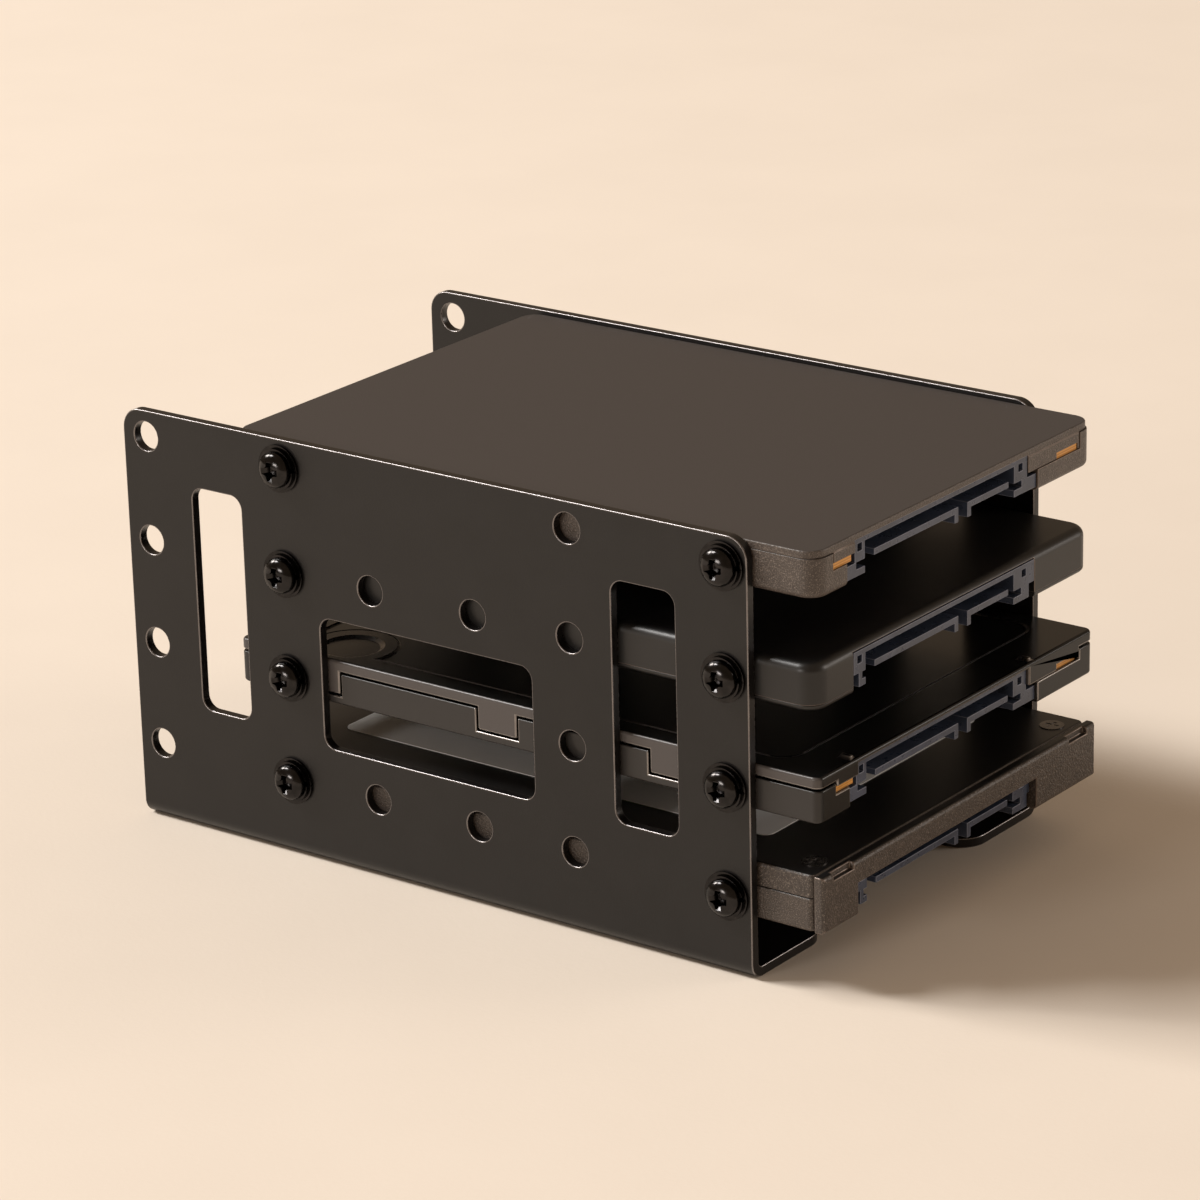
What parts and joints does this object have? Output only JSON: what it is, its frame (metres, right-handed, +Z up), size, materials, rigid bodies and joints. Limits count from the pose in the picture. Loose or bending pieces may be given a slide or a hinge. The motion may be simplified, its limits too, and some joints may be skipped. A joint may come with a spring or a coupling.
{
  "type": "drive mounting bracket",
  "caption": "Pair of bent sheet steel brackets that hold a stack of small flat storage drives side-on with washer screws.",
  "frame": {"origin": "on the floor plane of the feet, below the middle of the assembly's bounding box", "axes": "+X towards the drives' connector end, +Z up; the left bracket is on the -Y side"},
  "size_m": [0.1208, 0.0798, 0.0635],
  "materials": {
    "bracket_black": "satin black powder coat, very fine orange peel",
    "screw_black": "glossy black zinc",
    "case_dark_grain": "brown-black paint with a faint sparkle",
    "case_smooth_black": "smooth satin black",
    "case_stamped": "dark stamped sheet with bright worn edges",
    "case_coarse_grey": "coarse dark grey casting paint",
    "connector_plastic": "slate blue-grey moulding",
    "board": "amber edge, dark solder mask",
    "contact_gold": "gold plated",
    "label_paper": "pale grey film",
    "steel_dark": "dark zinc"
  },
  "bodies": {
    "chassis": {"left_bracket": "bracket_black", "right_bracket": "bracket_black", "drive_1_base": "case_dark_grain", "drive_1_cover": "case_dark_grain", "drive_1_board": "board", "drive_1_connector": "connector_plastic", "drive_1_contacts": "contact_gold", "drive_2_base": "case_smooth_black", "drive_2_cover": "case_smooth_black", "drive_2_board": "board", "drive_2_connector": "connector_plastic", "drive_2_contacts": "contact_gold", "drive_3_base": "case_stamped", "drive_3_cover": "case_stamped", "drive_3_board": "board", "drive_3_connector": "connector_plastic", "drive_3_contacts": "contact_gold", "drive_4_base": "case_coarse_grey", "drive_4_cover": "case_coarse_grey", "drive_4_board": "board", "drive_4_connector": "connector_plastic", "drive_4_contacts": "contact_gold", "drive_4_front_plate": "case_coarse_grey", "drive_4_lid_screws": "steel_dark", "drive_4_label": "label_paper"},
    "washers_left_front_1": {"washers_left_front_1": "screw_black"},
    "screw_left_front_1": {"screw_left_front_1": "screw_black"},
    "washers_left_front_2": {"washers_left_front_2": "screw_black"},
    "screw_left_front_2": {"screw_left_front_2": "screw_black"},
    "washers_left_front_3": {"washers_left_front_3": "screw_black"},
    "screw_left_front_3": {"screw_left_front_3": "screw_black"},
    "washers_left_front_4": {"washers_left_front_4": "screw_black"},
    "screw_left_front_4": {"screw_left_front_4": "screw_black"},
    "washers_left_rear_1": {"washers_left_rear_1": "screw_black"},
    "screw_left_rear_1": {"screw_left_rear_1": "screw_black"},
    "washers_left_rear_2": {"washers_left_rear_2": "screw_black"},
    "screw_left_rear_2": {"screw_left_rear_2": "screw_black"},
    "washers_left_rear_3": {"washers_left_rear_3": "screw_black"},
    "screw_left_rear_3": {"screw_left_rear_3": "screw_black"},
    "washers_left_rear_4": {"washers_left_rear_4": "screw_black"},
    "screw_left_rear_4": {"screw_left_rear_4": "screw_black"},
    "washers_right_front_1": {"washers_right_front_1": "screw_black"},
    "screw_right_front_1": {"screw_right_front_1": "screw_black"},
    "washers_right_front_2": {"washers_right_front_2": "screw_black"},
    "screw_right_front_2": {"screw_right_front_2": "screw_black"},
    "washers_right_front_3": {"washers_right_front_3": "screw_black"},
    "screw_right_front_3": {"screw_right_front_3": "screw_black"},
    "washers_right_front_4": {"washers_right_front_4": "screw_black"},
    "screw_right_front_4": {"screw_right_front_4": "screw_black"},
    "washers_right_rear_1": {"washers_right_rear_1": "screw_black"},
    "screw_right_rear_1": {"screw_right_rear_1": "screw_black"},
    "washers_right_rear_2": {"washers_right_rear_2": "screw_black"},
    "screw_right_rear_2": {"screw_right_rear_2": "screw_black"},
    "washers_right_rear_3": {"washers_right_rear_3": "screw_black"},
    "screw_right_rear_3": {"screw_right_rear_3": "screw_black"},
    "washers_right_rear_4": {"washers_right_rear_4": "screw_black"},
    "screw_right_rear_4": {"screw_right_rear_4": "screw_black"}
  },
  "joints": [
    {"name": "slide_left_front_1", "type": "slide", "parent": "chassis", "child": "washers_left_front_1", "axis": [0, -1, 0], "range_m": [0, 0.0032]},
    {"name": "turn_left_front_1", "type": "hinge", "parent": "washers_left_front_1", "child": "screw_left_front_1", "pos_m": [0.0456, -0.03642, 0.0592], "axis": [0, -1, 0], "range_deg": [0, 2305]},
    {"name": "slide_left_front_2", "type": "slide", "parent": "chassis", "child": "washers_left_front_2", "axis": [0, -1, 0], "range_m": [0, 0.0032]},
    {"name": "turn_left_front_2", "type": "hinge", "parent": "washers_left_front_2", "child": "screw_left_front_2", "pos_m": [0.0456, -0.03642, 0.0434], "axis": [0, -1, 0], "range_deg": [0, 2305]},
    {"name": "slide_left_front_3", "type": "slide", "parent": "chassis", "child": "washers_left_front_3", "axis": [0, -1, 0], "range_m": [0, 0.0032]},
    {"name": "turn_left_front_3", "type": "hinge", "parent": "washers_left_front_3", "child": "screw_left_front_3", "pos_m": [0.0456, -0.03642, 0.0276], "axis": [0, -1, 0], "range_deg": [0, 2305]},
    {"name": "slide_left_front_4", "type": "slide", "parent": "chassis", "child": "washers_left_front_4", "axis": [0, -1, 0], "range_m": [0, 0.0032]},
    {"name": "turn_left_front_4", "type": "hinge", "parent": "washers_left_front_4", "child": "screw_left_front_4", "pos_m": [0.0456, -0.03642, 0.0118], "axis": [0, -1, 0], "range_deg": [0, 2305]},
    {"name": "slide_left_rear_1", "type": "slide", "parent": "chassis", "child": "washers_left_rear_1", "axis": [0, -1, 0], "range_m": [0, 0.0032]},
    {"name": "turn_left_rear_1", "type": "hinge", "parent": "washers_left_rear_1", "child": "screw_left_rear_1", "pos_m": [-0.031, -0.03642, 0.0592], "axis": [0, -1, 0], "range_deg": [0, 2305]},
    {"name": "slide_left_rear_2", "type": "slide", "parent": "chassis", "child": "washers_left_rear_2", "axis": [0, -1, 0], "range_m": [0, 0.0032]},
    {"name": "turn_left_rear_2", "type": "hinge", "parent": "washers_left_rear_2", "child": "screw_left_rear_2", "pos_m": [-0.031, -0.03642, 0.0434], "axis": [0, -1, 0], "range_deg": [0, 2305]},
    {"name": "slide_left_rear_3", "type": "slide", "parent": "chassis", "child": "washers_left_rear_3", "axis": [0, -1, 0], "range_m": [0, 0.0032]},
    {"name": "turn_left_rear_3", "type": "hinge", "parent": "washers_left_rear_3", "child": "screw_left_rear_3", "pos_m": [-0.031, -0.03642, 0.0276], "axis": [0, -1, 0], "range_deg": [0, 2305]},
    {"name": "slide_left_rear_4", "type": "slide", "parent": "chassis", "child": "washers_left_rear_4", "axis": [0, -1, 0], "range_m": [0, 0.0032]},
    {"name": "turn_left_rear_4", "type": "hinge", "parent": "washers_left_rear_4", "child": "screw_left_rear_4", "pos_m": [-0.031, -0.03642, 0.0118], "axis": [0, -1, 0], "range_deg": [0, 2305]},
    {"name": "slide_right_front_1", "type": "slide", "parent": "chassis", "child": "washers_right_front_1", "axis": [0, 1, 0], "range_m": [0, 0.0032]},
    {"name": "turn_right_front_1", "type": "hinge", "parent": "washers_right_front_1", "child": "screw_right_front_1", "pos_m": [0.0456, 0.03642, 0.0592], "axis": [0, 1, 0], "range_deg": [0, 2305]},
    {"name": "slide_right_front_2", "type": "slide", "parent": "chassis", "child": "washers_right_front_2", "axis": [0, 1, 0], "range_m": [0, 0.0032]},
    {"name": "turn_right_front_2", "type": "hinge", "parent": "washers_right_front_2", "child": "screw_right_front_2", "pos_m": [0.0456, 0.03642, 0.0434], "axis": [0, 1, 0], "range_deg": [0, 2305]},
    {"name": "slide_right_front_3", "type": "slide", "parent": "chassis", "child": "washers_right_front_3", "axis": [0, 1, 0], "range_m": [0, 0.0032]},
    {"name": "turn_right_front_3", "type": "hinge", "parent": "washers_right_front_3", "child": "screw_right_front_3", "pos_m": [0.0456, 0.03642, 0.0276], "axis": [0, 1, 0], "range_deg": [0, 2305]},
    {"name": "slide_right_front_4", "type": "slide", "parent": "chassis", "child": "washers_right_front_4", "axis": [0, 1, 0], "range_m": [0, 0.0032]},
    {"name": "turn_right_front_4", "type": "hinge", "parent": "washers_right_front_4", "child": "screw_right_front_4", "pos_m": [0.0456, 0.03642, 0.0118], "axis": [0, 1, 0], "range_deg": [0, 2305]},
    {"name": "slide_right_rear_1", "type": "slide", "parent": "chassis", "child": "washers_right_rear_1", "axis": [0, 1, 0], "range_m": [0, 0.0032]},
    {"name": "turn_right_rear_1", "type": "hinge", "parent": "washers_right_rear_1", "child": "screw_right_rear_1", "pos_m": [-0.031, 0.03642, 0.0592], "axis": [0, 1, 0], "range_deg": [0, 2305]},
    {"name": "slide_right_rear_2", "type": "slide", "parent": "chassis", "child": "washers_right_rear_2", "axis": [0, 1, 0], "range_m": [0, 0.0032]},
    {"name": "turn_right_rear_2", "type": "hinge", "parent": "washers_right_rear_2", "child": "screw_right_rear_2", "pos_m": [-0.031, 0.03642, 0.0434], "axis": [0, 1, 0], "range_deg": [0, 2305]},
    {"name": "slide_right_rear_3", "type": "slide", "parent": "chassis", "child": "washers_right_rear_3", "axis": [0, 1, 0], "range_m": [0, 0.0032]},
    {"name": "turn_right_rear_3", "type": "hinge", "parent": "washers_right_rear_3", "child": "screw_right_rear_3", "pos_m": [-0.031, 0.03642, 0.0276], "axis": [0, 1, 0], "range_deg": [0, 2305]},
    {"name": "slide_right_rear_4", "type": "slide", "parent": "chassis", "child": "washers_right_rear_4", "axis": [0, 1, 0], "range_m": [0, 0.0032]},
    {"name": "turn_right_rear_4", "type": "hinge", "parent": "washers_right_rear_4", "child": "screw_right_rear_4", "pos_m": [-0.031, 0.03642, 0.0118], "axis": [0, 1, 0], "range_deg": [0, 2305]}
  ],
  "couplings": [
    {"joint": "turn_left_front_1", "follows": "slide_left_front_1", "rad_per_m": 12566},
    {"joint": "turn_left_front_2", "follows": "slide_left_front_2", "rad_per_m": 12566},
    {"joint": "turn_left_front_3", "follows": "slide_left_front_3", "rad_per_m": 12566},
    {"joint": "turn_left_front_4", "follows": "slide_left_front_4", "rad_per_m": 12566},
    {"joint": "turn_left_rear_1", "follows": "slide_left_rear_1", "rad_per_m": 12566},
    {"joint": "turn_left_rear_2", "follows": "slide_left_rear_2", "rad_per_m": 12566},
    {"joint": "turn_left_rear_3", "follows": "slide_left_rear_3", "rad_per_m": 12566},
    {"joint": "turn_left_rear_4", "follows": "slide_left_rear_4", "rad_per_m": 12566},
    {"joint": "turn_right_front_1", "follows": "slide_right_front_1", "rad_per_m": 12566},
    {"joint": "turn_right_front_2", "follows": "slide_right_front_2", "rad_per_m": 12566},
    {"joint": "turn_right_front_3", "follows": "slide_right_front_3", "rad_per_m": 12566},
    {"joint": "turn_right_front_4", "follows": "slide_right_front_4", "rad_per_m": 12566},
    {"joint": "turn_right_rear_1", "follows": "slide_right_rear_1", "rad_per_m": 12566},
    {"joint": "turn_right_rear_2", "follows": "slide_right_rear_2", "rad_per_m": 12566},
    {"joint": "turn_right_rear_3", "follows": "slide_right_rear_3", "rad_per_m": 12566},
    {"joint": "turn_right_rear_4", "follows": "slide_right_rear_4", "rad_per_m": 12566}
  ]
}
